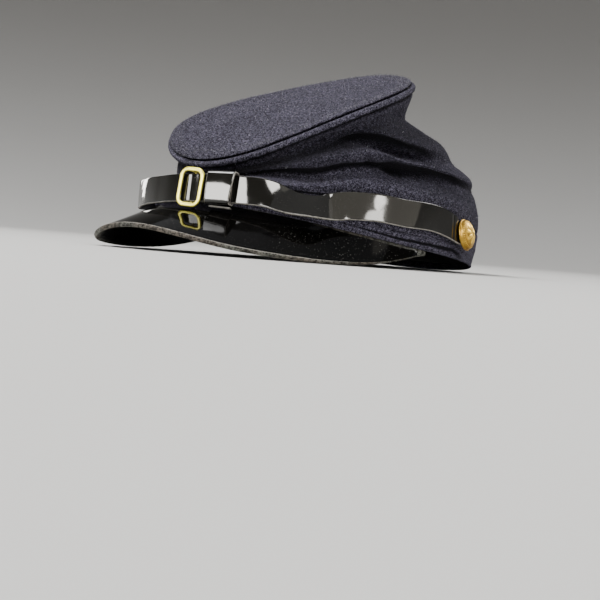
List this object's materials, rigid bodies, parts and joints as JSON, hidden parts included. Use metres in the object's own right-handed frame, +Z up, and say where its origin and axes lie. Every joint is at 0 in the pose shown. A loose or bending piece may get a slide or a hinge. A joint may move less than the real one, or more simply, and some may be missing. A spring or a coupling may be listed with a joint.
{
  "type": "kepi cap",
  "caption": "Soft wool kepi cap with a round top tilted forward, a folded side, a curved patent leather peak and a buckled chin strap held by brass side buttons.",
  "frame": {"origin": "centre of the cap's bounding box, on the surface it stands on", "axes": "+Z up, -Y to the front over the peak, +X to the wearer's left"},
  "size_m": [0.1864, 0.2596, 0.1161],
  "materials": {
    "navy_wool": "fuzzy felted wool, very dark navy",
    "patent_leather": "black gloss lacquer with a light cut edge",
    "sweat_leather": "smooth dark satin",
    "brass": "worn gilt, soft sheen"
  },
  "bodies": {
    "root": {"band": "navy_wool", "crown_side": "navy_wool", "crown_top": "navy_wool", "crown_welt": "navy_wool", "sweatband": "sweat_leather", "peak": "patent_leather", "strap_left": "patent_leather", "strap_right": "patent_leather", "strap_keeper": "patent_leather", "buckle": "brass", "button_left": "brass", "button_right": "brass"}
  },
  "joints": []
}
